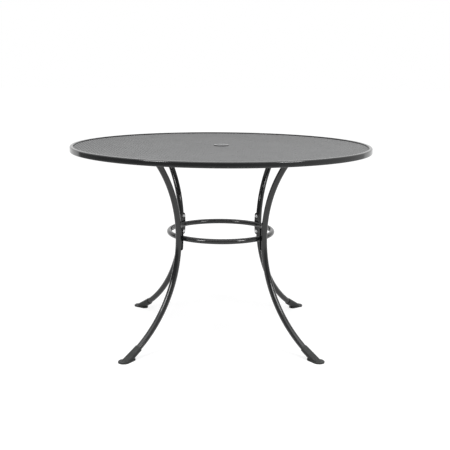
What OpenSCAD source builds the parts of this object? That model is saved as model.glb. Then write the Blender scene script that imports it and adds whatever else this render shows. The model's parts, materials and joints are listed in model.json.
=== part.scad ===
// Round garden table with an expanded-metal top, four bowed tube legs and a stretcher ring.
// The origin is on the floor under the middle of the top, and +Z points up.

/* [Table] */
// Outer diameter of the top
table_d = 1100; // [1000:10:1200]
// Height of the top above the floor
table_h = 720; // [700:5:740]

/* [Rim hoop] */
// Height of the rim tube
rim_h = 20; // [18:1:30]
// Width of the rim tube
rim_w = 12; // [10:1:20]
// Wall of the rim tube
rim_wall = 1.5; // [1:0.1:2.5]
// Radius of the rim tube's corners
rim_corner_r = 3; // [2.6:0.1:4.5]

/* [Mesh sheet] */
// Depth of the mesh below the top of the rim
mesh_drop = 4; // [3.5:0.1:5]
// Thickness of the mesh over its raised strands
mesh_t = 3; // [1.5:0.1:4]
// Long diagonal of a mesh diamond, larger than the real 21 so that the sheet stays light
mesh_long = 110; // [100:1:180]
// Short diagonal of a mesh diamond, larger than the real 10 in the same ratio
mesh_short = 55; // [50:1:90]
// Width of a mesh strand
mesh_strand = 6; // [4:0.5:9]
// Width of the plain edge round the mesh and round its centre hole
mesh_edge = 5; // [3:0.5:12]
// Turn of the mesh pattern about the middle
mesh_turn = 15; // [0:1:45]

/* [Umbrella hole] */
// Bore for the umbrella pole
bore_d = 42; // [34:1:46]
// Wall of the collar
collar_wall = 3; // [2:0.5:4]
// How far the collar's flange reaches past its sleeve
flange_reach = 4; // [2:0.5:8]
// Thickness of the collar's flange
flange_t = 3; // [2:0.5:3.5]
// Length of the steel socket
socket_len = 34; // [20:1:60]
// Wall of the steel socket
socket_wall = 2.5; // [2:0.1:4]

/* [Braces] */
// Width of a brace tube
brace_w = 30; // [26:1:36]
// Wall of a brace tube
brace_wall = 1.5; // [1:0.1:2]

/* [Legs] */
// Diameter of a leg tube
leg_d = 22; // [20:1:26]
// Wall of a leg tube
leg_wall = 1.5; // [1:0.1:2]
// Distance of a leg's centre line from the middle at its waist
waist_r = 216; // [190:1:240]
// Height of the waist
waist_z = 400; // [390:1:410]
// Bending radius of a leg's centre line
bend_r = 440; // [430:5:520]
// Height of a leg's lower end above the floor, at its centre line
leg_end_z = 14; // [13:0.5:18]

/* [Leg plates] */
// Thickness of a leg plate
plate_t = 4; // [3:0.5:6]
// Width of a leg plate
plate_w = 28; // [24:1:30]
// Distance between the two bolts of a leg plate
plate_bolt_gap = 68; // [62:1:90]
// Length of a leg plate past each bolt
plate_end = 13; // [10:1:20]

/* [Stretcher ring] */
// Diameter of the ring tube
ring_d = 19; // [16:1:25]
// Wall of the ring tube
ring_wall = 1.5; // [1:0.1:2]
// Height of the ring
ring_z = 395; // [385:1:405]

/* [Ring plates] */
// Thickness of a ring plate
tab_t = 3; // [2.5:0.5:6]
// Width of a ring plate
tab_w = 20; // [16:1:22]
// Distance between the two bolts of a ring plate
tab_bolt_gap = 60; // [50:1:80]
// Length of a ring plate past each bolt
tab_end = 13; // [8:1:20]

/* [Foot shoes] */
// Wall of a shoe's sleeve at its mouth
sleeve_wall = 2; // [1.5:0.1:4]
// How much the sleeve's radius grows from its mouth to the end of the leg
sleeve_flare = 0.8; // [0:0.1:3]
// How far the sleeve reaches up a leg from its end
sleeve_len = 42; // [30:1:60]
// Length of the sole
sole_len = 68; // [60:1:90]
// Width of the sole across the toe
toe_w = 42; // [36:1:50]
// Width of the sole across the heel
heel_w = 30; // [28:1:36]
// Thickness of the sole
sole_t = 6; // [5:0.5:10]
// Rounding of the sole's upper edge
sole_edge_r = 3; // [1:0.5:5]
// How far the middle of the sole lies outside the end of the leg
sole_shift = 17; // [10:1:24]

/* [Fasteners] */
// Thread diameter of a ring bolt
ring_bolt_d = 6; // [5:1:6]
// Thread diameter of a leg bolt
leg_bolt_d = 8; // [6:1:8]
// Length of thread past the face that the bolt enters
thread_len = 9; // [6:0.5:9]
// Wall of a threaded insert
insert_wall = 1.5; // [1:0.1:2]
// Length of a threaded insert
insert_len = 10; // [9:0.5:10.5]
// Thickness of a washer
washer_t = 1.2; // [0.8:0.1:2]

/* [Clearances] */
// Gap between steel faces that are welded together
weld_gap = 0.05; // [0.02:0.01:0.1]
// Gap round a thread
thread_gap = 0.05; // [0.02:0.01:0.1]
// Extra diameter of a hole that a bolt passes
bolt_clear = 0.6; // [0.4:0.1:1]
// Gap between a plastic piece and the steel that it sits on
slip_gap = 0.2; // [0.1:0.05:0.4]

/* [Hidden] */

// Directions of the four legs, seen from above
angle_front_left = 225;
angle_front_right = 315;
angle_rear_left = 135;
angle_rear_right = 45;
corners = [angle_front_left, angle_front_right, angle_rear_left, angle_rear_right];
pair = [-1, 1];

steel_grey = [0.24, 0.25, 0.26];
mesh_grey = [0.34, 0.35, 0.36];
plastic_grey = [0.17, 0.18, 0.18];
zinc = [0.75, 0.76, 0.78];

round_fn = 96;
small_fn = 48;
// Reach of a cutting tool past the face that it cuts
cut = 1;

// Heights of the layers of the top
mesh_top_z = table_h - mesh_drop;
mesh_low_z = mesh_top_z - mesh_t;
rim_low_z = table_h - rim_h;
brace_h = mesh_low_z - rim_low_z;
plate_low_z = rim_low_z - plate_t;
rim_in_r = table_d / 2 - rim_w;

// Umbrella hole
sleeve_r = bore_d / 2 + collar_wall;
socket_in_r = sleeve_r + slip_gap;
socket_out_r = socket_in_r + socket_wall;
collar_low_z = mesh_low_z - socket_len;

// Leg arc: its centre lies outside the leg, and angles run down from the waist
leg_r = leg_d / 2;
arc_x = waist_r + bend_r;
function drop_at(z) = asin((waist_z - z) / bend_r);
function arc_angle(len) = len / bend_r * 180 / PI;
leg_top_drop = drop_at(plate_low_z);
leg_end_drop = drop_at(leg_end_z);
leg_top_r = arc_x - bend_r * cos(leg_top_drop);
leg_end_r = arc_x - bend_r * cos(leg_end_drop);
// More of the arc than the slanted cut at the top takes away
leg_spare = arc_angle(2 * leg_d);

// Ring plates follow the inner side of the leg, and the ring touches their inner face
tab_out = bend_r + leg_r + weld_gap;
tab_in = tab_out + tab_t;
ring_r_from_arc = tab_in + weld_gap + ring_d / 2;
ring_drop = asin((waist_z - ring_z) / ring_r_from_arc);
ring_r = arc_x - ring_r_from_arc * cos(ring_drop);
function tab_angle(len) = len / tab_in * 180 / PI;

// Foot shoe: the sole's outline is two circles joined by the lines that touch both
socket_r = leg_r + slip_gap;
mouth_r = socket_r + sleeve_wall;
sleeve_drop = leg_end_drop - arc_angle(sleeve_len / 2);
sole_mid_r = leg_end_r + sole_shift;
toe_r = toe_w / 2;
heel_r = heel_w / 2;
toe_x = sole_mid_r + sole_len / 2 - toe_r;
heel_x = sole_mid_r - sole_len / 2 + heel_r;
side_angle = asin((toe_r - heel_r) / (toe_x - heel_x));

// Bolt heads in proportion to their thread
head_d_ratio = 1.75;
head_h_ratio = 0.55;
hex_ratio = 0.6;
hex_depth_ratio = 0.3;
washer_d_ratio = 2;
crown_ratio = 1.3;

// Arc of a leg, in the plane of the leg: a profile carried from one drop angle to another
module along_arc(from, to, fn = round_fn) {
    translate([arc_x, 0, waist_z])
        rotate([90, 0, 0])
            rotate([0, 0, 180 + from])
                rotate_extrude(angle = to - from, $fn = fn)
                    children();
}

// Puts a piece on the leg's arc, with +X towards the centre of the arc
module on_arc(drop, from_centre) {
    translate([arc_x, 0, waist_z])
        rotate([0, -drop, 0])
            translate([-from_centre, 0, 0])
                children();
}

module at_corner(direction) {
    rotate([0, 0, direction])
        children();
}

module pipe_profile(radius, wall) {
    difference() {
        circle(r = radius, $fn = small_fn);
        circle(r = radius - wall, $fn = small_fn);
    }
}

module rounded_box_profile(width, height, corner) {
    union() {
        translate([corner, 0])
            square([width - 2 * corner, height]);
        translate([0, corner])
            square([width, height - 2 * corner]);
        for (x = [corner, width - corner]) {
            for (y = [corner, height - corner]) {
                translate([x, y])
                    circle(r = corner, $fn = small_fn);
            }
        }
    }
}

module tube(out_r, in_r, height) {
    difference() {
        cylinder(r = out_r, h = height, $fn = round_fn);
        translate([0, 0, -cut])
            cylinder(r = in_r, h = height + 2 * cut, $fn = round_fn);
    }
}

// Top

module rim_hoop() {
    color(steel_grey)
        translate([0, 0, rim_low_z])
            rotate_extrude($fn = round_fn)
                translate([rim_in_r, 0])
                    difference() {
                        rounded_box_profile(rim_w, rim_h, rim_corner_r);
                        translate([rim_wall, rim_wall])
                            rounded_box_profile(rim_w - 2 * rim_wall, rim_h - 2 * rim_wall,
                                rim_corner_r - rim_wall);
                    }
}

// One opening of the expanded metal
module diamond() {
    polygon([[-mesh_long / 2 + mesh_strand, 0], [0, -(mesh_short - mesh_strand) / 2],
        [mesh_long / 2 - mesh_strand, 0], [0, (mesh_short - mesh_strand) / 2]]);
}

module diamond_field(reach) {
    columns = ceil(reach / mesh_long);
    rows = ceil(reach / mesh_short);
    for (shift = [0, 1 / 2]) {
        for (column = [-columns:columns]) {
            for (row = [-rows:rows]) {
                x = (column + shift) * mesh_long;
                y = (row + shift) * mesh_short;
                if (norm([x, y]) < reach + mesh_short / 2) {
                    translate([x, y])
                        diamond();
                }
            }
        }
    }
}

module mesh_top() {
    outer = rim_in_r - weld_gap;
    hole = sleeve_r + slip_gap;
    color(mesh_grey)
        translate([0, 0, mesh_low_z])
            linear_extrude(height = mesh_t)
                difference() {
                    circle(r = outer, $fn = round_fn);
                    rotate([0, 0, mesh_turn])
                        intersection() {
                            difference() {
                                circle(r = outer - mesh_edge, $fn = round_fn);
                                circle(r = hole + mesh_edge, $fn = round_fn);
                            }
                            diamond_field(outer);
                        }
                    circle(r = hole, $fn = round_fn);
                }
}

module umbrella_socket() {
    color(steel_grey)
        translate([0, 0, collar_low_z])
            tube(socket_out_r, socket_in_r, socket_len);
}

module umbrella_collar() {
    color(plastic_grey)
        difference() {
            union() {
                translate([0, 0, collar_low_z])
                    cylinder(r = sleeve_r, h = mesh_top_z - collar_low_z, $fn = round_fn);
                translate([0, 0, mesh_top_z])
                    cylinder(r = sleeve_r + flange_reach, h = flange_t, $fn = round_fn);
            }
            translate([0, 0, collar_low_z - cut])
                cylinder(d = bore_d, h = socket_len + mesh_t + flange_t + 2 * cut, $fn = round_fn);
        }
}

module brace() {
    insert_hole_r = leg_bolt_d / 2 + insert_wall + thread_gap;
    color(steel_grey)
        intersection() {
            difference() {
                translate([0, -brace_w / 2, rim_low_z])
                    cube([rim_in_r, brace_w, brace_h]);
                translate([-cut, brace_wall - brace_w / 2, rim_low_z + brace_wall])
                    cube([rim_in_r + 2 * cut, brace_w - 2 * brace_wall, brace_h - 2 * brace_wall]);
                translate([0, 0, rim_low_z - cut])
                    cylinder(r = socket_out_r + weld_gap, h = rim_h, $fn = round_fn);
                for (side = pair) {
                    translate([leg_top_r + side * plate_bolt_gap / 2, 0, rim_low_z - cut])
                        cylinder(r = insert_hole_r, h = brace_wall + 2 * cut, $fn = small_fn);
                }
            }
            translate([0, 0, rim_low_z - cut])
                cylinder(r = rim_in_r - weld_gap, h = rim_h, $fn = round_fn);
        }
}

// Legs

module leg_plate() {
    length = plate_bolt_gap + 2 * plate_end;
    color(steel_grey)
        difference() {
            translate([leg_top_r - length / 2, -plate_w / 2, plate_low_z])
                cube([length, plate_w, plate_t]);
            for (side = pair) {
                translate([leg_top_r + side * plate_bolt_gap / 2, 0, plate_low_z - cut])
                    cylinder(d = leg_bolt_d + bolt_clear, h = plate_t + 2 * cut, $fn = small_fn);
            }
        }
}

module leg() {
    insert_hole_r = ring_bolt_d / 2 + insert_wall + thread_gap;
    color(steel_grey)
        difference() {
            along_arc(leg_top_drop - leg_spare, leg_end_drop)
                translate([bend_r, 0])
                    pipe_profile(leg_r, leg_wall);
            translate([leg_top_r - bend_r / 2, -leg_d, plate_low_z])
                cube([bend_r, 2 * leg_d, 2 * leg_d]);
            for (side = pair) {
                on_arc(ring_drop + side * tab_angle(tab_bolt_gap / 2), tab_in)
                    rotate([0, 90, 0])
                        cylinder(r = insert_hole_r, h = tab_t + leg_r, $fn = small_fn);
            }
        }
}

// Point where the sole's side leaves one of its end circles
function side_point(x, radius, side) = [x - radius * sin(side_angle), side * radius * cos(side_angle)];

// Round end of the sole, with its upper edge rounded
module sole_end(radius) {
    rotate_extrude($fn = round_fn)
        union() {
            square([radius, sole_t - sole_edge_r]);
            square([radius - sole_edge_r, sole_t]);
            translate([radius - sole_edge_r, sole_t - sole_edge_r])
                intersection() {
                    circle(r = sole_edge_r, $fn = small_fn);
                    translate([sole_edge_r - radius, -sole_edge_r])
                        square([radius, 2 * sole_edge_r]);
                }
        }
}

// Part of the sole between its ends, drawn in by an inset
module sole_middle(inset, height) {
    linear_extrude(height = height)
        polygon([side_point(heel_x, heel_r - inset, -1), side_point(toe_x, toe_r - inset, -1),
            side_point(toe_x, toe_r - inset, 1), side_point(heel_x, heel_r - inset, 1)]);
}

module sole() {
    side_len = (toe_x - heel_x) * cos(side_angle);
    translate([toe_x, 0, 0])
        sole_end(toe_r);
    translate([heel_x, 0, 0])
        sole_end(heel_r);
    sole_middle(0, sole_t - sole_edge_r);
    sole_middle(sole_edge_r, sole_t);
    for (side = pair) {
        start = side_point(heel_x, heel_r - sole_edge_r, side);
        translate([start.x, start.y, sole_t - sole_edge_r])
            rotate([0, 90, side * side_angle])
                cylinder(r = sole_edge_r, h = side_len, $fn = small_fn);
    }
}

module foot() {
    below = (leg_end_z + 2 * mouth_r) / cos(sleeve_drop);
    cone_len = sleeve_len + below;
    color(plastic_grey)
        difference() {
            intersection() {
                union() {
                    sole();
                    on_arc(sleeve_drop, bend_r)
                        translate([0, 0, sleeve_len / 2 - cone_len])
                            cylinder(r1 = mouth_r + sleeve_flare * cone_len / sleeve_len, r2 = mouth_r,
                                h = cone_len, $fn = round_fn);
                }
                translate([sole_mid_r - table_h / 2, -sole_len, 0])
                    cube([table_h, 2 * sole_len, table_h]);
            }
            along_arc(leg_end_drop - arc_angle(2 * sleeve_len), leg_end_drop)
                translate([bend_r, 0])
                    circle(r = socket_r, $fn = small_fn);
        }
}

// Stretcher ring

module stretcher_ring() {
    color(steel_grey)
        translate([0, 0, ring_z])
            rotate_extrude($fn = round_fn)
                translate([ring_r, 0])
                    pipe_profile(ring_d / 2, ring_wall);
}

module ring_plate() {
    half = tab_angle(tab_bolt_gap / 2 + tab_end);
    color(steel_grey)
        difference() {
            along_arc(ring_drop - half, ring_drop + half)
                translate([tab_out, -tab_w / 2])
                    square([tab_t, tab_w]);
            for (side = pair) {
                on_arc(ring_drop + side * tab_angle(tab_bolt_gap / 2), tab_in + cut)
                    rotate([0, 90, 0])
                        cylinder(d = ring_bolt_d + bolt_clear, h = tab_t + 2 * cut, $fn = small_fn);
            }
        }
}

// Fasteners, each drawn along +Z with the face under the head or washer at zero

module bolt(d, grip) {
    head_d = head_d_ratio * d;
    head_h = head_h_ratio * d;
    union() {
        cylinder(d = d - 2 * thread_gap, h = grip + thread_len, $fn = small_fn);
        difference() {
            intersection() {
                translate([0, 0, -head_h])
                    cylinder(d = head_d, h = head_h, $fn = small_fn);
                translate([0, 0, head_d / 2 - head_h])
                    sphere(d = crown_ratio * head_d, $fn = small_fn);
            }
            translate([0, 0, -head_h - cut])
                cylinder(d = hex_ratio * d, h = hex_depth_ratio * d + cut, $fn = 6);
        }
    }
}

module washer(d) {
    difference() {
        cylinder(d = washer_d_ratio * d, h = washer_t, $fn = small_fn);
        translate([0, 0, -cut])
            cylinder(d = d + bolt_clear, h = washer_t + 2 * cut, $fn = small_fn);
    }
}

module insert(d) {
    difference() {
        cylinder(r = d / 2 + insert_wall, h = insert_len, $fn = small_fn);
        translate([0, 0, -cut])
            cylinder(d = d, h = insert_len + 2 * cut, $fn = small_fn);
    }
}

// Puts a fastener at each ring bolt, with +Z outwards through the leg
module at_ring_bolts(from_centre) {
    for (direction = corners) {
        for (side = pair) {
            at_corner(direction)
                on_arc(ring_drop + side * tab_angle(tab_bolt_gap / 2), from_centre)
                    rotate([0, 90, 0])
                        children();
        }
    }
}

// Puts a fastener at each leg bolt, with +Z up into the brace
module at_leg_bolts(z) {
    for (direction = corners) {
        for (side = pair) {
            at_corner(direction)
                translate([leg_top_r + side * plate_bolt_gap / 2, 0, z])
                    children();
        }
    }
}

module ring_bolts() {
    color(zinc)
        at_ring_bolts(tab_in + washer_t)
            bolt(ring_bolt_d, washer_t + tab_t);
}

module ring_washers() {
    color(zinc)
        at_ring_bolts(tab_in + washer_t)
            washer(ring_bolt_d);
}

module ring_inserts() {
    color(zinc)
        at_ring_bolts(tab_out - weld_gap)
            insert(ring_bolt_d);
}

module leg_bolts() {
    color(zinc)
        at_leg_bolts(plate_low_z - washer_t)
            bolt(leg_bolt_d, washer_t + plate_t);
}

module leg_washers() {
    color(zinc)
        at_leg_bolts(plate_low_z - washer_t)
            washer(leg_bolt_d);
}

module leg_inserts() {
    color(zinc)
        at_leg_bolts(rim_low_z)
            insert(leg_bolt_d);
}

rim_hoop();
mesh_top();
umbrella_socket();
umbrella_collar();
at_corner(angle_front_left) brace();  // brace_front_left
at_corner(angle_front_right) brace();  // brace_front_right
at_corner(angle_rear_left) brace();  // brace_rear_left
at_corner(angle_rear_right) brace();  // brace_rear_right
at_corner(angle_front_left) leg_plate();  // leg_plate_front_left
at_corner(angle_front_right) leg_plate();  // leg_plate_front_right
at_corner(angle_rear_left) leg_plate();  // leg_plate_rear_left
at_corner(angle_rear_right) leg_plate();  // leg_plate_rear_right
at_corner(angle_front_left) leg();  // leg_front_left
at_corner(angle_front_right) leg();  // leg_front_right
at_corner(angle_rear_left) leg();  // leg_rear_left
at_corner(angle_rear_right) leg();  // leg_rear_right
at_corner(angle_front_left) foot();  // foot_front_left
at_corner(angle_front_right) foot();  // foot_front_right
at_corner(angle_rear_left) foot();  // foot_rear_left
at_corner(angle_rear_right) foot();  // foot_rear_right
stretcher_ring();
at_corner(angle_front_left) ring_plate();  // ring_plate_front_left
at_corner(angle_front_right) ring_plate();  // ring_plate_front_right
at_corner(angle_rear_left) ring_plate();  // ring_plate_rear_left
at_corner(angle_rear_right) ring_plate();  // ring_plate_rear_right
ring_bolts();
ring_washers();
ring_inserts();
leg_bolts();
leg_washers();
leg_inserts();
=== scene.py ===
# Looks of the round garden table: coated steel, expanded metal, moulded shoes, studio and camera.
# All sizes are in metres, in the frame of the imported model: floor at zero, +Z up.

import json
import math

import bmesh
import bpy
import numpy as np
from mathutils import Matrix, Vector


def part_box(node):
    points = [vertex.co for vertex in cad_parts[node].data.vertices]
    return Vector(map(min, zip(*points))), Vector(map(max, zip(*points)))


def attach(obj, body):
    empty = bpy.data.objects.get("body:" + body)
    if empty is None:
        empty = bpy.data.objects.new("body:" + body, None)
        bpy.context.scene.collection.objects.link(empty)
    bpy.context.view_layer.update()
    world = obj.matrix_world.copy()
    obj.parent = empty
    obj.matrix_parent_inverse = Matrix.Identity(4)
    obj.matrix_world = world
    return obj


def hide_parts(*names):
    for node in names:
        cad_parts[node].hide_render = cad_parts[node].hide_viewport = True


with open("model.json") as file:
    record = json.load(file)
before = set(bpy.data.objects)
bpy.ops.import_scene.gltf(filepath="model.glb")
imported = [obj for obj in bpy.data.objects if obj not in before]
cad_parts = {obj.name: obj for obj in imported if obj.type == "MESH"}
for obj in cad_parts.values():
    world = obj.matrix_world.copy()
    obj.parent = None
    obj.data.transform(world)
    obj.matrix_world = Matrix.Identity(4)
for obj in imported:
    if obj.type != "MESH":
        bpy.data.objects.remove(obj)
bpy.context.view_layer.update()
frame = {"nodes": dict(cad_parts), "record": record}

MM = 0.001

# Directions of the legs, seen from above
CORNERS = {
    "front_left": math.radians(225),
    "front_right": math.radians(315),
    "rear_left": math.radians(135),
    "rear_right": math.radians(45),
}

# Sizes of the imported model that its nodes' boxes don't give
RIM_W = 12 * MM
COLLAR_BORE_R = 21 * MM
COLLAR_SLEEVE_R = 24 * MM
BRACE_W = 30 * MM
LEG_PLATE_W = 28 * MM
LEG_PLATE_LEN = 94 * MM
RING_PLATE_W = 20 * MM

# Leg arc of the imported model
WAIST_R = 216 * MM
WAIST_Z = 400 * MM
BEND_R = 440 * MM
ARC_X = WAIST_R + BEND_R
LEG_R = 11 * MM
LEG_END_Z = 14 * MM

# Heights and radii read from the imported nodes
rim_low, rim_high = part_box("rim_hoop")
mesh_low, mesh_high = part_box("mesh_top")
collar_low, collar_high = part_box("umbrella_collar")
ring_low, ring_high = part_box("stretcher_ring")
ring_plate_low, ring_plate_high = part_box("ring_plate_front_left")
TOP_R = rim_high.x
RIM_IN_R = TOP_R - RIM_W
SOCKET_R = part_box("umbrella_socket")[1].x
PLATE_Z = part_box("leg_plate_front_left")[0].z
RING_Z = (ring_low.z + ring_high.z) / 2
RING_TUBE_R = (ring_high.z - ring_low.z) / 2
RING_R = ring_high.x - RING_TUBE_R


# Node materials


def new_material(name):
    material = bpy.data.materials.new(name)
    material.use_nodes = True
    tree = material.node_tree
    tree.nodes.clear()
    return material, tree


def add_node(tree, kind, **settings):
    node = tree.nodes.new(kind)
    for key, value in settings.items():
        if key in node.inputs:
            node.inputs[key].default_value = value
        else:
            setattr(node, key, value)
    return node


def noise(tree, scale, detail=3.0, roughness=0.5):
    place = add_node(tree, "ShaderNodeTexCoord")
    grain = add_node(tree, "ShaderNodeTexNoise")
    grain.inputs["Scale"].default_value = scale
    grain.inputs["Detail"].default_value = detail
    grain.inputs["Roughness"].default_value = roughness
    tree.links.new(place.outputs["Object"], grain.inputs["Vector"])
    return grain.outputs["Fac"]


def ramp(tree, factor, low, high, low_at=0.35, high_at=0.65):
    node = add_node(tree, "ShaderNodeValToRGB")
    node.color_ramp.elements[0].position = low_at
    node.color_ramp.elements[0].color = (*low, 1.0)
    node.color_ramp.elements[1].position = high_at
    node.color_ramp.elements[1].color = (*high, 1.0)
    tree.links.new(factor, node.inputs["Fac"])
    return node.outputs["Color"]


def spread(tree, factor, low, high):
    node = add_node(tree, "ShaderNodeMapRange")
    node.inputs["To Min"].default_value = low
    node.inputs["To Max"].default_value = high
    tree.links.new(factor, node.inputs["Value"])
    return node.outputs["Result"]


def surface(name, dark, light, patch_scale, rough, grain_scale, grain_height, metallic=0.0,
            specular=0.5):
    """Colour drifts in soft patches, gloss drifts with it, and a fine grain lifts the surface."""
    material, tree = new_material(name)
    shader = add_node(tree, "ShaderNodeBsdfPrincipled")
    shader.inputs["Metallic"].default_value = metallic
    shader.inputs["Specular IOR Level"].default_value = specular
    out = add_node(tree, "ShaderNodeOutputMaterial")
    patches = noise(tree, patch_scale)
    tree.links.new(ramp(tree, patches, dark, light), shader.inputs["Base Color"])
    tree.links.new(spread(tree, noise(tree, patch_scale * 3), *rough), shader.inputs["Roughness"])
    bump = add_node(tree, "ShaderNodeBump")
    bump.inputs["Strength"].default_value = 1.0
    bump.inputs["Distance"].default_value = grain_height
    tree.links.new(noise(tree, grain_scale, 2.0), bump.inputs["Height"])
    tree.links.new(bump.outputs["Normal"], shader.inputs["Normal"])
    tree.links.new(shader.outputs["BSDF"], out.inputs["Surface"])
    return material


FRAME_PAINT = surface(
    "frame_paint", dark=(0.0075, 0.008, 0.0085), light=(0.0115, 0.012, 0.0125), patch_scale=9.0,
    rough=(0.10, 0.15), grain_scale=900.0, grain_height=0.004 * MM)
MESH_PAINT = surface(
    "mesh_paint", dark=(0.038, 0.039, 0.040), light=(0.048, 0.049, 0.050), patch_scale=12.0,
    rough=(0.24, 0.34), grain_scale=900.0, grain_height=0.004 * MM, specular=0.8)
SHOE_PLASTIC = surface(
    "shoe_plastic", dark=(0.013, 0.0142, 0.0138), light=(0.020, 0.0216, 0.0208), patch_scale=40.0,
    rough=(0.44, 0.56), grain_scale=2200.0, grain_height=0.03 * MM, specular=0.35)
COLLAR_PLASTIC = surface(
    "collar_plastic", dark=(0.008, 0.0083, 0.0086), light=(0.012, 0.0124, 0.0128), patch_scale=60.0,
    rough=(0.12, 0.20), grain_scale=1800.0, grain_height=0.004 * MM, specular=0.6)
ZINC = surface(
    "zinc_plate", dark=(0.58, 0.59, 0.60), light=(0.74, 0.74, 0.73), patch_scale=160.0,
    rough=(0.24, 0.38), grain_scale=1500.0, grain_height=0.01 * MM, metallic=1.0)
WELD_PAINT = surface(
    "weld_paint", dark=(0.010, 0.0105, 0.011), light=(0.016, 0.0165, 0.017), patch_scale=60.0,
    rough=(0.24, 0.34), grain_scale=700.0, grain_height=0.04 * MM, specular=0.45)

# Painted highlight on the collar's bore wall: its colour, and how far past the bore it fades into the
# flange
BORE_HIGHLIGHT = (0.30, 0.304, 0.308)
BORE_HIGHLIGHT_IN = 0.5 * MM
BORE_HIGHLIGHT_OUT = 1.5 * MM

# Sockets of a Mix node that mixes colours
MIX_A = 6
MIX_B = 7
MIX_RESULT = 2


def paint_bore_highlight(material, inner, outer, colour):
    """The material takes a painted highlight colour at the wall of a bore round the Z axis."""
    tree = material.node_tree
    shader = tree.nodes["Principled BSDF"]
    under = shader.inputs["Base Color"].links[0].from_socket
    place = add_node(tree, "ShaderNodeTexCoord")
    flat = add_node(tree, "ShaderNodeVectorMath", operation="MULTIPLY")
    tree.links.new(place.outputs["Object"], flat.inputs[0])
    flat.inputs[1].default_value = (1.0, 1.0, 0.0)
    reach = add_node(tree, "ShaderNodeVectorMath", operation="LENGTH")
    tree.links.new(flat.outputs[0], reach.inputs[0])
    share = add_node(tree, "ShaderNodeMapRange", interpolation_type="SMOOTHSTEP")
    share.inputs["From Min"].default_value = inner
    share.inputs["From Max"].default_value = outer
    share.inputs["To Min"].default_value = 1.0
    share.inputs["To Max"].default_value = 0.0
    tree.links.new(reach.outputs["Value"], share.inputs["Value"])
    mix = add_node(tree, "ShaderNodeMix", data_type="RGBA")
    tree.links.new(share.outputs["Result"], mix.inputs["Factor"])
    tree.links.new(under, mix.inputs[MIX_A])
    mix.inputs[MIX_B].default_value = (*colour, 1.0)
    tree.links.new(mix.outputs[MIX_RESULT], shader.inputs["Base Color"])


# Painted highlight: a light colour on the collar's bore wall
paint_bore_highlight(COLLAR_PLASTIC, COLLAR_BORE_R + BORE_HIGHLIGHT_IN, COLLAR_BORE_R + BORE_HIGHLIGHT_OUT,
            BORE_HIGHLIGHT)


# Mesh helpers


def add_piece(name, verts, faces, material, smooth=True):
    mesh = bpy.data.meshes.new(name)
    mesh.from_pydata([tuple(v) for v in verts], [], faces)
    mesh.validate()
    outward = bmesh.new()
    outward.from_mesh(mesh)
    bmesh.ops.recalc_face_normals(outward, faces=outward.faces)
    outward.to_mesh(mesh)
    outward.free()
    piece = bpy.data.objects.new(name, mesh)
    bpy.context.scene.collection.objects.link(piece)
    mesh.materials.append(material)
    if smooth:
        mesh.shade_smooth()
    return piece


def grid_faces(rows, columns, close_rows, close_columns):
    """Quads over a grid of points, row by row, wrapped where asked."""
    faces = []
    for i in range(rows if close_rows else rows - 1):
        for j in range(columns if close_columns else columns - 1):
            a = i * columns + j
            b = i * columns + (j + 1) % columns
            c = (i + 1) % rows * columns + (j + 1) % columns
            d = (i + 1) % rows * columns + j
            faces.append((a, b, c, d))
    return faces


def lathe(name, profile, material, turns):
    """A closed profile of (radius, height) points carried round the Z axis."""
    verts = []
    for i in range(turns):
        angle = 2 * math.pi * i / turns
        for radius, height in profile:
            verts.append((radius * math.cos(angle), radius * math.sin(angle), height))
    faces = grid_faces(turns, len(profile), True, True)
    piece = add_piece(name, verts, faces, material)
    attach(piece, "root")
    return piece


def capped_faces(rows, columns):
    """Quads round a tube of rows of points, and a face over each end."""
    faces = grid_faces(rows, columns, False, True)
    faces.append(tuple(reversed(range(columns))))
    faces.append(tuple(range((rows - 1) * columns, rows * columns)))
    return faces


def circle(centre_x, centre_y, radius, sides):
    """Points of a full turn in a plane."""
    points = []
    for k in range(sides):
        angle = 2 * math.pi * k / sides
        points.append((centre_x + radius * math.cos(angle), centre_y + radius * math.sin(angle)))
    return points


def sweep(name, centres, normals, binormals, radii, material, sides):
    """A round bar along points, each with its own frame and radius."""
    verts = []
    for centre, n, b, radius in zip(centres, normals, binormals, radii):
        verts += [centre + n * u + b * v for u, v in circle(0, 0, radius, sides)]
    return add_piece(name, verts, capped_faces(len(centres), sides), material)


def quarter_arc(centre_x, centre_y, radius, start, steps):
    """Points of a quarter turn in a plane, from an angle in degrees."""
    points = []
    for k in range(steps + 1):
        angle = math.radians(start + 90 * k / steps)
        points.append((centre_x + radius * math.cos(angle), centre_y + radius * math.sin(angle)))
    return points


def rounded_profile(low_r, high_r, low_z, high_z, corner, shoulder, steps=8):
    """A section with round corners in radius and height, rounder at its top outer edge."""
    points = []
    centres = [
        (high_r - corner, low_z + corner, corner, -90),
        (high_r - shoulder, high_z - shoulder, shoulder, 0),
        (low_r + corner, high_z - corner, corner, 90),
        (low_r + corner, low_z + corner, corner, 180),
    ]
    for r, z, radius, start in centres:
        points += quarter_arc(r, z, radius, start, steps)
    return points


# Expanded metal: zigzag strands that meet in tilted bonds, welded inside the rim

MESH_LONG = 20.8 * MM
MESH_SHORT = 10.0 * MM
MESH_TURN = math.radians(15)
STRAND_W = 2.2 * MM
STRAND_T = 0.9 * MM
STRAND_TILT = math.radians(32)
BOND_LEN = 5.0 * MM
# How far each strand of a bond runs past the middle of the bond
BOND_OVERLAP = 0.03 * MM
# Play of the sheet in the rim, and round the sleeve of the collar
MESH_RIM_GAP = 0.3 * MM
MESH_HOLE_GAP = 1 * MM


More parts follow.
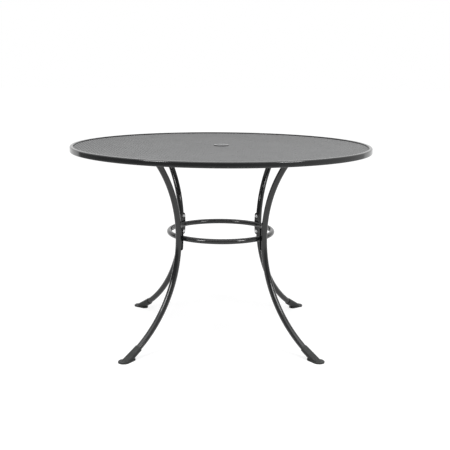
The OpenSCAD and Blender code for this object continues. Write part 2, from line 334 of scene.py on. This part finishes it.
def clipped_run(p, q, limit, keep_inside):
    """The part of the segment pq inside (or outside) a circle of radius limit, or None."""
    inside_p = (np.hypot(p[0], p[1]) <= limit) == keep_inside
    inside_q = (np.hypot(q[0], q[1]) <= limit) == keep_inside
    if inside_p and inside_q:
        return p, q
    if not inside_p and not inside_q:
        return None
    d = q - p
    a = d[0] ** 2 + d[1] ** 2
    b = p[0] * d[0] + p[1] * d[1]
    c = p[0] ** 2 + p[1] ** 2 - limit ** 2
    root = math.sqrt(max(b * b - a * c, 0.0))
    shares = [s for s in ((-b - root) / a, (-b + root) / a) if 0.0 <= s <= 1.0]
    if not shares:
        return None
    cut = p + d * shares[0]
    return (p, cut) if inside_p else (cut, q)


def strand_rows(reach, hole):
    """Centre lines of all strands, each a list of points. Two strands meet at a bond."""
    rise = STRAND_W / 2 - BOND_OVERLAP
    rise_y = rise * math.cos(STRAND_TILT)
    rise_z = rise * math.sin(STRAND_TILT)
    half_rows = int(reach / (MESH_SHORT / 2)) + 1
    half_steps = int(reach / (MESH_LONG / 2)) + 2
    rows = []
    for j in range(-half_rows, half_rows + 1):
        y = j * MESH_SHORT / 2
        line = []
        for i in range(-half_steps, half_steps + 1):
            up = 1 if (i + j) % 2 == 0 else -1
            x = i * MESH_LONG / 2
            at_y = y + up * (MESH_SHORT / 4 - rise_y)
            at_z = -up * rise_z
            line.append(np.array((x - BOND_LEN / 2, at_y, at_z)))
            line.append(np.array((x + BOND_LEN / 2, at_y, at_z)))
        run = []
        for p, q in zip(line, line[1:]):
            kept = clipped_run(p, q, reach, True)
            if kept is not None:
                kept = clipped_run(kept[0], kept[1], hole, False)
            if kept is None:
                if len(run) > 1:
                    rows.append(run)
                run = []
                continue
            if run and np.allclose(run[-1], kept[0]):
                run.append(kept[1])
            else:
                if len(run) > 1:
                    rows.append(run)
                run = [kept[0], kept[1]]
        if len(run) > 1:
            rows.append(run)
    return rows


def make_mesh():
    reach = min(mesh_high.x, RIM_IN_R) - MESH_RIM_GAP
    hole = COLLAR_SLEEVE_R + MESH_HOLE_GAP
    middle = (mesh_low.z + mesh_high.z) / 2
    across = np.array((0, math.cos(STRAND_TILT), math.sin(STRAND_TILT))) * STRAND_W / 2
    through = np.array((0, -math.sin(STRAND_TILT), math.cos(STRAND_TILT))) * STRAND_T / 2
    corners = [-across - through, across - through, across + through, through - across]
    rows = strand_rows(reach, hole)
    halves = {
        "expanded_mesh_front": [run for run in rows if run[0][1] < 0],
        "expanded_mesh_rear": [run for run in rows if run[0][1] >= 0],
    }
    for name, runs in halves.items():
        make_strands(name, runs, corners, middle)


def make_strands(name, runs, corners, middle):
    """Strands as one piece. The sheet is two such halves, so that neither is too heavy to export."""
    verts = []
    faces = []
    for run in runs:
        first = len(verts)
        for point in run:
            verts.extend(point + corner for corner in corners)
        for i in range(len(run) - 1):
            a = first + 4 * i
            for k in range(4):
                m = (k + 1) % 4
                faces.append((a + k, a + 4 + k, a + 4 + m, a + m))
        last = first + 4 * (len(run) - 1)
        faces.append((first, first + 1, first + 2, first + 3))
        faces.append((last + 3, last + 2, last + 1, last))
    verts = np.array(verts)
    x, y, z = verts.T
    c, s = math.cos(MESH_TURN), math.sin(MESH_TURN)
    turned = np.stack((x * c - y * s, x * s + y * c, z + middle), axis=1)
    piece = add_piece(name, turned.tolist(), faces, MESH_PAINT, smooth=False)
    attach(piece, "root")
    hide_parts("mesh_top")


# Rim and collar

RIM_TURNS = 360
COLLAR_TURNS = 96
RIM_CORNER = 2 * MM
RIM_SHOULDER = 4.5 * MM
COLLAR_INNER_EDGE = 0.7 * MM
COLLAR_OUTER_EDGE = 1.6 * MM
SLEEVE_EDGE = 0.6 * MM
SLEEVE_MOUTH = 1 * MM
FLANGE_UNDERCUT = 0.3 * MM


def make_rim():
    profile = rounded_profile(RIM_IN_R, TOP_R, rim_low.z, rim_high.z, RIM_CORNER, RIM_SHOULDER)
    piece = lathe("rim_tube", profile, FRAME_PAINT, RIM_TURNS)
    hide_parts("rim_hoop")


def make_collar():
    flange = collar_high.x
    low, seat, top = collar_low.z, mesh_high.z, collar_high.z
    profile = [
        (COLLAR_BORE_R, low + SLEEVE_MOUTH),
        (COLLAR_BORE_R + SLEEVE_EDGE, low),
        (COLLAR_SLEEVE_R - SLEEVE_EDGE, low),
        (COLLAR_SLEEVE_R, low + SLEEVE_EDGE),
        (COLLAR_SLEEVE_R, seat),
        (flange - FLANGE_UNDERCUT, seat),
    ]
    profile += quarter_arc(flange - COLLAR_OUTER_EDGE, top - COLLAR_OUTER_EDGE,
                           COLLAR_OUTER_EDGE, 0, 8)
    profile += quarter_arc(COLLAR_BORE_R + COLLAR_INNER_EDGE, top - COLLAR_INNER_EDGE,
                           COLLAR_INNER_EDGE, 90, 6)
    piece = lathe("collar_bush", profile, COLLAR_PLASTIC, COLLAR_TURNS)
    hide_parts("umbrella_collar")


# Legs and ring

TUBE_SIDES = 40
LEG_RINGS = 97
RING_TURNS = 240


def leg_drop(height):
    """Angle below the waist, along the arc of a leg, at a height."""
    return math.asin((WAIST_Z - height) / BEND_R)


def leg_point(drop):
    """Point of a leg's centre line at an angle below the waist."""
    return Vector((ARC_X - BEND_R * math.cos(drop), 0, WAIST_Z - BEND_R * math.sin(drop)))


def turned_copy(piece, name, angle, node):
    """A copy of a piece drawn along +X, turned to one of the corners."""
    copy = piece.copy()
    copy.data = piece.data.copy()
    copy.name = name
    copy.data.transform(Matrix.Rotation(angle, 4, "Z"))
    bpy.context.scene.collection.objects.link(copy)
    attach(copy, "root")
    if node:
        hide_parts(node)
    return copy


def make_legs():
    top_drop = leg_drop(PLATE_Z)
    end_drop = leg_drop(LEG_END_Z)
    verts = []
    for i in range(LEG_RINGS):
        drop = top_drop + (end_drop - top_drop) * i / (LEG_RINGS - 1)
        centre = leg_point(drop)
        out = Vector((math.cos(drop), 0, math.sin(drop)))
        along = Vector((math.sin(drop), 0, -math.cos(drop)))
        for u, v in circle(0, 0, LEG_R, TUBE_SIDES):
            point = centre + out * u + Vector((0, v, 0))
            if i == 0:
                point += along * ((PLATE_Z - point.z) / along.z)
            verts.append(point)
    master = add_piece("leg_master", verts, capped_faces(LEG_RINGS, TUBE_SIDES), FRAME_PAINT)
    for corner, angle in CORNERS.items():
        turned_copy(master, "leg_tube_" + corner, angle, "leg_" + corner)
    bpy.data.objects.remove(master)


def make_ring():
    profile = circle(RING_R, RING_Z, RING_TUBE_R, TUBE_SIDES)
    piece = lathe("ring_tube", profile, FRAME_PAINT, RING_TURNS)
    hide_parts("stretcher_ring")


# Plates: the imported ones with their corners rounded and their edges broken

LEG_PLATE_CORNER = 10 * MM
RING_PLATE_CORNER = 8.5 * MM
BROKEN_EDGE = 0.45 * MM
BROKEN_FROM = math.radians(40)
SHARP_FROM = math.radians(35)
# The cutter stands off the plate's straight sides by this
CUT_SPARE = 0.01 * MM
SAME_POINT = 0.005 * MM
# Depths between which the cutters run: out from the ring's middle, and past both faces of a leg plate
RING_CUT_OUT = 60 * MM
LEG_CUT_DOWN = 10 * MM
LEG_CUT_UP = 30 * MM


def cutting_outline(width, length, corner, steps=10):
    """A rectangle with round corners, as points in its own plane."""
    half_w = width / 2 + CUT_SPARE
    half_l = length / 2 + CUT_SPARE
    points = []
    for x, y, start in ((1, -1, -90), (1, 1, 0), (-1, 1, 90), (-1, -1, 180)):
        points += quarter_arc(x * (half_w - corner), y * (half_l - corner), corner, start, steps)
    return points


def cut_and_bevel(plate, cutter):
    """The mesh of a plate inside the cutter, with its edges broken."""
    cut = plate.modifiers.new("corners", "BOOLEAN")
    cut.operation = "INTERSECT"
    cut.solver = "EXACT"
    cut.object = cutter
    edges = plate.modifiers.new("edges", "BEVEL")
    edges.width = BROKEN_EDGE
    edges.segments = 2
    edges.limit_method = "ANGLE"
    edges.angle_limit = BROKEN_FROM
    bpy.context.view_layer.update()
    result = plate.evaluated_get(bpy.context.evaluated_depsgraph_get())
    mesh = bpy.data.meshes.new_from_object(result)
    plate.modifiers.clear()
    clean = bmesh.new()
    clean.from_mesh(mesh)
    bmesh.ops.remove_doubles(clean, verts=clean.verts, dist=SAME_POINT)
    bmesh.ops.dissolve_degenerate(clean, dist=SAME_POINT, edges=clean.edges)
    clean.to_mesh(mesh)
    clean.free()
    return mesh


def soften_plate(node, name, outline, place, depths):
    """A packed plate, cut by a prism of the outline that runs between two depths."""
    plate = bpy.data.objects.new(name, frame["nodes"][node].data.copy())
    bpy.context.scene.collection.objects.link(plate)
    verts = [place(u, v, depth) for depth in depths for u, v in outline]
    cutter = add_piece(name + "_cutter", verts, capped_faces(2, len(outline)), FRAME_PAINT,
                       smooth=False)
    plate.data = cut_and_bevel(plate, cutter)
    bpy.data.objects.remove(cutter)
    plate.data.materials.clear()
    plate.data.materials.append(FRAME_PAINT)
    plate.data.shade_smooth()
    plate.data.set_sharp_from_angle(angle=SHARP_FROM)
    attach(plate, "root")
    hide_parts(node)


def make_plates():
    ring_plate_z = (ring_plate_low.z + ring_plate_high.z) / 2
    ring_plate_len = ring_plate_high.z - ring_plate_low.z
    ring_outline = cutting_outline(RING_PLATE_W, ring_plate_len, RING_PLATE_CORNER)
    ring_depths = (RING_R, RING_R + RING_CUT_OUT)
    leg_outline = cutting_outline(LEG_PLATE_W, LEG_PLATE_LEN, LEG_PLATE_CORNER)
    leg_depths = (PLATE_Z - LEG_CUT_DOWN, PLATE_Z + LEG_CUT_UP)
    leg_top_r = leg_point(leg_drop(PLATE_Z)).x
    for corner, angle in CORNERS.items():
        turn = Matrix.Rotation(angle, 3, "Z")
        soften_plate("ring_plate_" + corner, "ring_strap_" + corner, ring_outline,
                     lambda u, v, r: turn @ Vector((r, u, ring_plate_z + v)), ring_depths)
        soften_plate("leg_plate_" + corner, "leg_flange_" + corner, leg_outline,
                     lambda u, v, z: turn @ Vector((leg_top_r + v, u, z)), leg_depths)


# Weld beads where the coated pieces meet

BEAD_SIDES = 10
BEAD_STEP = 0.9 * MM
# Share by which a bead swells and narrows in its ripples, and their pace in radians a step
BEAD_RIPPLE = 0.09
BEAD_PACE = 1.9
# Share of the radius at the tip of a straight bead, and its growth a step
BEAD_TIP = 0.45
BEAD_GROWTH = 0.25
LEG_BEAD_R = 1.9 * MM
LEG_BEAD_DROP = 0.5 * MM
LEG_BEAD_TURNS = 72
LEG_BEAD_RIPPLES = 22
BRACE_BEAD_R = 1.6 * MM
BRACE_BEAD_OFF = 0.6 * MM
BRACE_BEAD_END = 1.5 * MM
RING_BEAD_R = 1.4 * MM
RING_BEAD_LIFT = 4.2 * MM
RING_BEAD_LEN = 17 * MM


def bead(start, end, radius):
    """A rippled round bead along a short straight line, narrow at both ends."""
    count = max(4, int((end - start).length / BEAD_STEP))
    points = [start.lerp(end, i / count) for i in range(count + 1)]
    centres, normals, binormals, radii = [], [], [], []
    for i, point in enumerate(points):
        ahead = points[min(i + 1, len(points) - 1)] - points[max(i - 1, 0)]
        side = ahead.orthogonal().normalized()
        centres.append(point)
        normals.append(side)
        binormals.append(ahead.normalized().cross(side))
        from_end = min(i, len(points) - 1 - i)
        taper = min(1.0, BEAD_TIP + BEAD_GROWTH * from_end)
        radii.append(radius * taper * (1 + BEAD_RIPPLE * math.sin(i * BEAD_PACE)))
    return sweep("weld_master", centres, normals, binormals, radii, WELD_PAINT, BEAD_SIDES)


def leg_bead():
    """Closed bead round the top of a leg, under its plate."""
    drop = leg_drop(PLATE_Z)
    middle = leg_point(drop)
    slant = 1 / math.cos(drop)
    verts = []
    for i in range(LEG_BEAD_TURNS):
        angle = 2 * math.pi * i / LEG_BEAD_TURNS
        out = Vector((math.cos(angle), math.sin(angle), 0))
        centre = middle + Vector((LEG_R * slant * out.x, LEG_R * out.y, -LEG_BEAD_DROP))
        radius = LEG_BEAD_R * (1 + BEAD_RIPPLE * math.sin(angle * LEG_BEAD_RIPPLES))
        for u, v in circle(0, 0, radius, BEAD_SIDES):
            point = centre + out * u + Vector((0, 0, v))
            point.z = min(point.z, PLATE_Z)
            verts.append(point)
    faces = grid_faces(LEG_BEAD_TURNS, BEAD_SIDES, True, True)
    return add_piece("weld_master", verts, faces, WELD_PAINT)


def brace_beads():
    """Upright beads at both sides of a brace, at the rim and at the socket."""
    pieces = []
    half = BRACE_W / 2
    for wall_r, towards_brace in ((RIM_IN_R, -1), (SOCKET_R, 1)):
        x = math.sqrt(wall_r ** 2 - half ** 2) + towards_brace * BRACE_BEAD_OFF
        for side in (-1, 1):
            low = Vector((x, side * half, rim_low.z + BRACE_BEAD_END))
            high = Vector((x, side * half, mesh_low.z - BRACE_BEAD_END))
            pieces.append(bead(low, high, BRACE_BEAD_R))
    return pieces


def ring_beads():
    """Level beads above and below the ring, in the crevice at a ring plate."""
    pieces = []
    crevice = RING_TUBE_R - math.sqrt(RING_TUBE_R ** 2 - RING_BEAD_LIFT ** 2)
    x = RING_R + RING_TUBE_R - crevice / 2
    for side in (-1, 1):
        z = RING_Z + side * RING_BEAD_LIFT
        start = Vector((x, -RING_BEAD_LEN / 2, z))
        end = Vector((x, RING_BEAD_LEN / 2, z))
        pieces.append(bead(start, end, RING_BEAD_R))
    return pieces


def make_welds():
    masters = {"weld_leg_": [leg_bead()], "weld_brace_": brace_beads(), "weld_ring_": ring_beads()}
    for start, pieces in masters.items():
        joined = bmesh.new()
        for piece in pieces:
            joined.from_mesh(piece.data)
        mesh = bpy.data.meshes.new(start + "all")
        joined.to_mesh(mesh)
        joined.free()
        mesh.materials.append(WELD_PAINT)
        mesh.shade_smooth()
        master = bpy.data.objects.new(start + "all", mesh)
        for corner, angle in CORNERS.items():
            turned_copy(master, start + corner, angle, None)
        bpy.data.objects.remove(master)
        for piece in pieces:
            bpy.data.objects.remove(piece)


make_mesh()
make_rim()
make_collar()
make_legs()
make_ring()
make_plates()
make_welds()

# Finish of the nodes that stay as they are packed

SLOT_MATERIALS = {
    "frame_steel": FRAME_PAINT,
    "mesh_steel": MESH_PAINT,
    "shoe_plastic": SHOE_PLASTIC,
    "collar_plastic": COLLAR_PLASTIC,
    "fastener_zinc": ZINC,
}
for part in frame["record"]["subparts"]:
    node = frame["nodes"][part["node"]]
    node.data.materials.clear()
    node.data.materials.append(SLOT_MATERIALS[part["material_slot"]])


# Studio

# Strength of the floor's glow near the table and past it, and the distances between which it grows
FLOOR_GLOW = 0.75
FLOOR_GLOW_FAR = 1.0
FLOOR_NEAR = 0.9
FLOOR_FAR = 2.4
FLOOR_R = 30
FLOOR_SIDES = 96
FLOOR_GREY = 0.35
# The floor lies this far below the soles, so that the two faces don't coincide
FLOOR_GAP = 0.1 * MM


def make_floor():
    bpy.ops.mesh.primitive_circle_add(
        vertices=FLOOR_SIDES, radius=FLOOR_R, fill_type="NGON", location=(0, 0, -FLOOR_GAP))
    floor = bpy.context.object
    floor.name = "studio_floor"
    material, tree = new_material("floor_white")
    light = add_node(tree, "ShaderNodeBsdfDiffuse")
    light.inputs["Color"].default_value = (FLOOR_GREY, FLOOR_GREY, FLOOR_GREY, 1)
    place = add_node(tree, "ShaderNodeTexCoord")
    away = add_node(tree, "ShaderNodeVectorMath", operation="LENGTH")
    tree.links.new(place.outputs["Object"], away.inputs[0])
    reach = add_node(tree, "ShaderNodeMapRange")
    reach.inputs["From Min"].default_value = FLOOR_NEAR
    reach.inputs["From Max"].default_value = FLOOR_FAR
    reach.inputs["To Min"].default_value = FLOOR_GLOW
    reach.inputs["To Max"].default_value = FLOOR_GLOW_FAR
    tree.links.new(away.outputs["Value"], reach.inputs["Value"])
    level = add_node(tree, "ShaderNodeMath", operation="MULTIPLY")
    tree.links.new(camera_or_mirror(tree), level.inputs[0])
    tree.links.new(reach.outputs["Result"], level.inputs[1])
    glow = add_node(tree, "ShaderNodeEmission")
    tree.links.new(level.outputs[0], glow.inputs["Strength"])
    both = add_node(tree, "ShaderNodeAddShader")
    tree.links.new(light.outputs[0], both.inputs[0])
    tree.links.new(glow.outputs[0], both.inputs[1])
    out = add_node(tree, "ShaderNodeOutputMaterial")
    tree.links.new(both.outputs[0], out.inputs["Surface"])
    floor.data.materials.append(material)


def camera_or_mirror(tree):
    """One where the ray comes from the camera or from a glossy or clear surface."""
    path = add_node(tree, "ShaderNodeLightPath")
    first = add_node(tree, "ShaderNodeMath", operation="MAXIMUM")
    second = add_node(tree, "ShaderNodeMath", operation="MAXIMUM")
    tree.links.new(path.outputs["Is Camera Ray"], first.inputs[0])
    tree.links.new(path.outputs["Is Glossy Ray"], first.inputs[1])
    tree.links.new(first.outputs[0], second.inputs[0])
    tree.links.new(path.outputs["Is Transmission Ray"], second.inputs[1])
    return second.outputs[0]


WORLD_FILL = 0.2
WORLD_WHITE = 1.0


def make_world():
    """White to the camera and in reflections, and a dim fill light to the object."""
    world = bpy.data.worlds.new("studio_world")
    bpy.context.scene.world = world
    world.use_nodes = True
    tree = world.node_tree
    tree.nodes.clear()
    fill = add_node(tree, "ShaderNodeBackground")
    fill.inputs["Strength"].default_value = WORLD_FILL
    white = add_node(tree, "ShaderNodeBackground")
    white.inputs["Color"].default_value = (1, 1, 1, 1)
    white.inputs["Strength"].default_value = WORLD_WHITE
    share = add_node(tree, "ShaderNodeMixShader")
    tree.links.new(camera_or_mirror(tree), share.inputs[0])
    tree.links.new(fill.outputs[0], share.inputs[1])
    tree.links.new(white.outputs[0], share.inputs[2])
    out = add_node(tree, "ShaderNodeOutputWorld")
    tree.links.new(share.outputs[0], out.inputs["Surface"])


def area_lamp(name, place, target, size, power):
    data = bpy.data.lights.new(name, "AREA")
    data.shape = "RECTANGLE"
    data.size, data.size_y = size
    data.energy = power
    lamp = bpy.data.objects.new(name, data)
    lamp.location = place
    lamp.rotation_mode = "QUATERNION"
    lamp.rotation_quaternion = (Vector(target) - Vector(place)).to_track_quat("-Z", "Y")
    lamp.visible_camera = False
    bpy.context.scene.collection.objects.link(lamp)


# A large softbox overhead, and two small ones in front: places, sizes in metres, powers in watts
OVER_PLACE = Vector((0, -0.5, 2.6))
OVER_TARGET = Vector((0, -0.5, 0))
OVER_SIZE = (3.4, 4.0)
OVER_POWER = 76
SIDE_PLACE = Vector((1.15, -1.25, 1.12))
SIDE_TARGET = Vector((0, 0, 0.4))
SIDE_SIZE = (0.45, 0.6)
SIDE_POWER = 13


def make_lamps():
    area_lamp("lamp_over", OVER_PLACE, OVER_TARGET, OVER_SIZE, OVER_POWER)
    for name, side in (("lamp_left", -1), ("lamp_right", 1)):
        place = Vector((side * SIDE_PLACE.x, SIDE_PLACE.y, SIDE_PLACE.z))
        area_lamp(name, place, SIDE_TARGET, SIDE_SIZE, SIDE_POWER)


WALL_R = 4.5
WALL_H = 1.8
# The wall reaches this many degrees round from the front, to both sides
WALL_REACH = 125
WALL_STEPS = 48
# Brightness of the wall from left to right, by the share of its width
WALL_SHADES = ((0.0, 0.19), (0.65, 0.30), (1.0, 0.72))


def make_dark_wall():
    """A low dark wall round the front and sides, which only the gloss and the light see."""
    verts = []
    for i in range(WALL_STEPS + 1):
        angle = math.radians(-90 - WALL_REACH + 2 * WALL_REACH * i / WALL_STEPS)
        for height in (0.0, WALL_H):
            verts.append((WALL_R * math.cos(angle), WALL_R * math.sin(angle), height))
    mesh = bpy.data.meshes.new("studio_wall")
    mesh.from_pydata(verts, [], grid_faces(WALL_STEPS + 1, 2, False, False))
    wall = bpy.data.objects.new("studio_wall", mesh)
    bpy.context.scene.collection.objects.link(wall)
    material, tree = new_material("wall_dark")
    place = add_node(tree, "ShaderNodeTexCoord")
    parts = add_node(tree, "ShaderNodeSeparateXYZ")
    tree.links.new(place.outputs["Object"], parts.inputs[0])
    across = add_node(tree, "ShaderNodeMapRange")
    across.inputs["From Min"].default_value = -WALL_R
    across.inputs["From Max"].default_value = WALL_R
    tree.links.new(parts.outputs["X"], across.inputs["Value"])
    shade = add_node(tree, "ShaderNodeValToRGB")
    stops = shade.color_ramp.elements
    stops.new(WALL_SHADES[1][0])
    for stop, (share, level) in zip(stops, WALL_SHADES):
        stop.position = share
        stop.color = (level, level, level, 1)
    tree.links.new(across.outputs["Result"], shade.inputs["Fac"])
    glow = add_node(tree, "ShaderNodeEmission")
    tree.links.new(shade.outputs["Color"], glow.inputs["Color"])
    out = add_node(tree, "ShaderNodeOutputMaterial")
    tree.links.new(glow.outputs[0], out.inputs["Surface"])
    mesh.materials.append(material)
    wall.visible_camera = False


# Camera at the photograph's viewing angle

CAMERA_DISTANCE = 3.0144
CAMERA_HEIGHT = 1.0137
CAMERA_ROUND = math.radians(1.10)
CAMERA_YAW = math.radians(0.307)
CAMERA_PITCH = math.radians(11.193)
CAMERA_ROLL = math.radians(0.468)
FOCAL_PX = 817.9
IMAGE_PX = 450


def make_camera():
    data = bpy.data.cameras.new("camera")
    data.sensor_width = 36
    data.lens = FOCAL_PX / IMAGE_PX * data.sensor_width
    camera = bpy.data.objects.new("camera", data)
    camera.location = (-CAMERA_DISTANCE * math.sin(CAMERA_ROUND),
                       -CAMERA_DISTANCE * math.cos(CAMERA_ROUND), CAMERA_HEIGHT)
    heading = Matrix.Rotation(-(CAMERA_YAW + CAMERA_ROUND), 4, "Z")
    tilt = Matrix.Rotation(math.pi / 2 - CAMERA_PITCH, 4, "X")
    roll = Matrix.Rotation(CAMERA_ROLL, 4, "Z")
    camera.rotation_mode = "QUATERNION"
    camera.rotation_quaternion = (heading @ tilt @ roll).to_quaternion()
    bpy.context.scene.collection.objects.link(camera)
    bpy.context.scene.camera = camera


make_floor()
make_world()
make_lamps()
make_dark_wall()
make_camera()
bpy.context.scene.view_settings.view_transform = "Standard"
